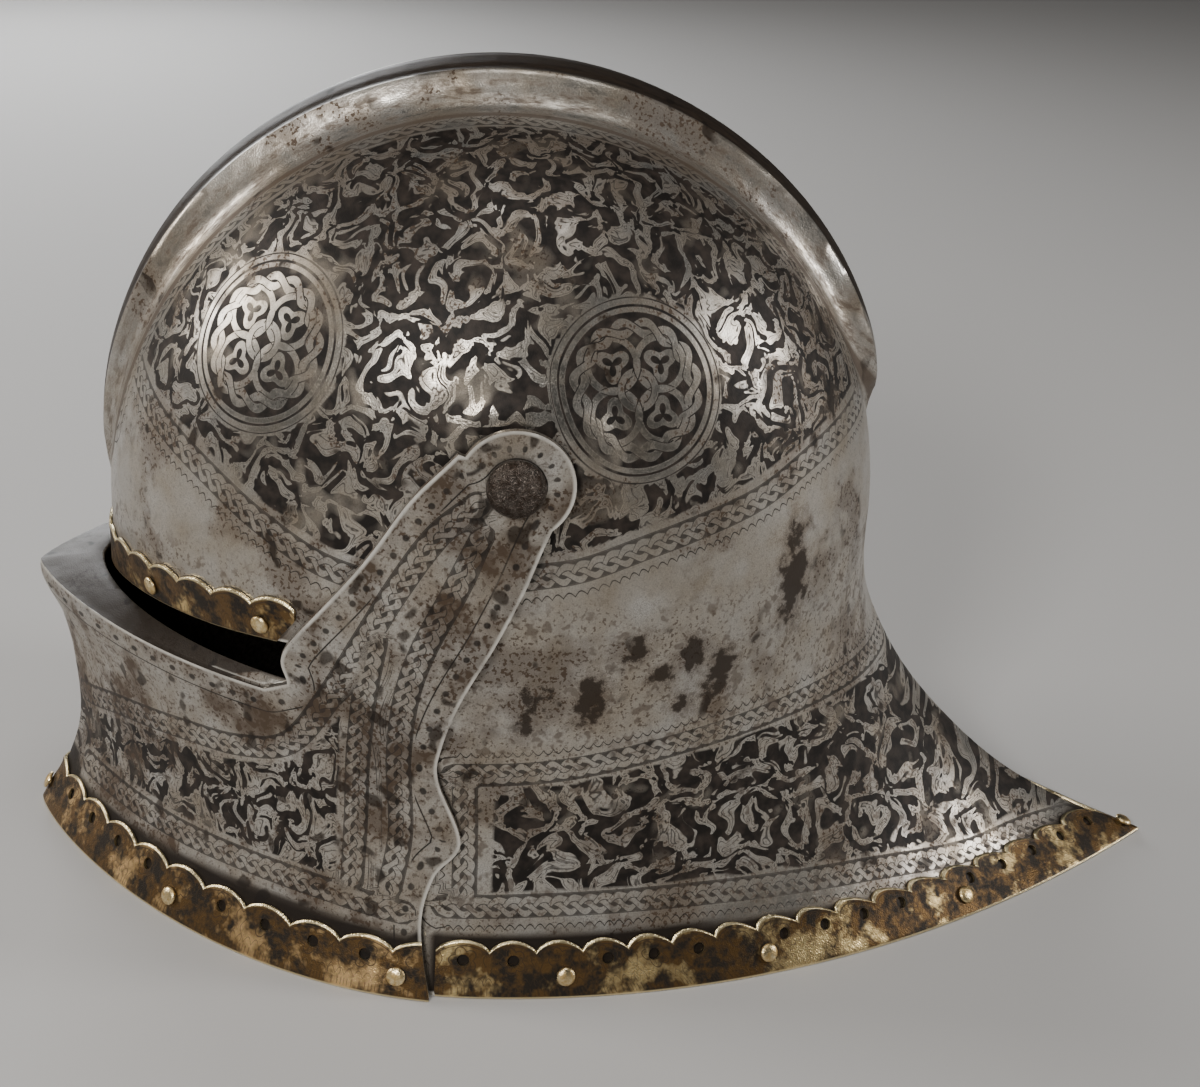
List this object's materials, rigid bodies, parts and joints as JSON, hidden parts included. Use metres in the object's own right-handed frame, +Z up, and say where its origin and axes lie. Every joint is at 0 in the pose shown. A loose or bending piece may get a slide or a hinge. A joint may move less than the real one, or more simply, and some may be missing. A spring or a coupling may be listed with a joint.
{
  "type": "visored sallet",
  "caption": "Steel sallet with a broad hollow comb and a long pointed tail, a visor with a sight ledge that lifts on two side pivots, and scalloped brass edging.",
  "frame": {"origin": "middle of the bounding box, on the plane that the rim rests on", "axes": "+Z up from the rim, -Y where the face looks, +X towards the wearer's left"},
  "size_m": [0.2268, 0.3886, 0.2647],
  "materials": {
    "etched_steel": "polished steel with bands and fields etched on a dark ground, stained brown in places",
    "visor_steel": "polished steel with etched bands, more worn and stained than the bowl",
    "aged_brass": "aged brass, engraved, with dark patina and bright worn edges",
    "rivet_brass": "domed brass rivet heads, rubbed bright",
    "dark_steel": "brown steel, pitted"
  },
  "bodies": {
    "bowl_body": {"skull": "etched_steel", "brow_edging": "aged_brass", "tail_edging": "aged_brass", "pivot_left": "dark_steel", "pivot_right": "dark_steel", "brow_rivet_1": "rivet_brass", "brow_rivet_2": "rivet_brass", "brow_rivet_3": "rivet_brass", "brow_rivet_4": "rivet_brass", "tail_rivet_1": "rivet_brass", "tail_rivet_2": "rivet_brass", "tail_rivet_3": "rivet_brass", "tail_rivet_4": "rivet_brass", "tail_rivet_5": "rivet_brass", "tail_rivet_6": "rivet_brass", "tail_rivet_7": "rivet_brass"},
    "visor_body": {"visor": "visor_steel", "visor_edging": "aged_brass", "visor_rivet_1": "rivet_brass", "visor_rivet_2": "rivet_brass", "visor_rivet_3": "rivet_brass", "visor_rivet_4": "rivet_brass", "visor_rivet_5": "rivet_brass"}
  },
  "joints": [
    {"name": "visor_lift", "type": "hinge", "parent": "bowl_body", "child": "visor_body", "pos_m": [0, -0.043, 0.167], "axis": [-1, 0, 0], "range_deg": [0, 60]}
  ]
}
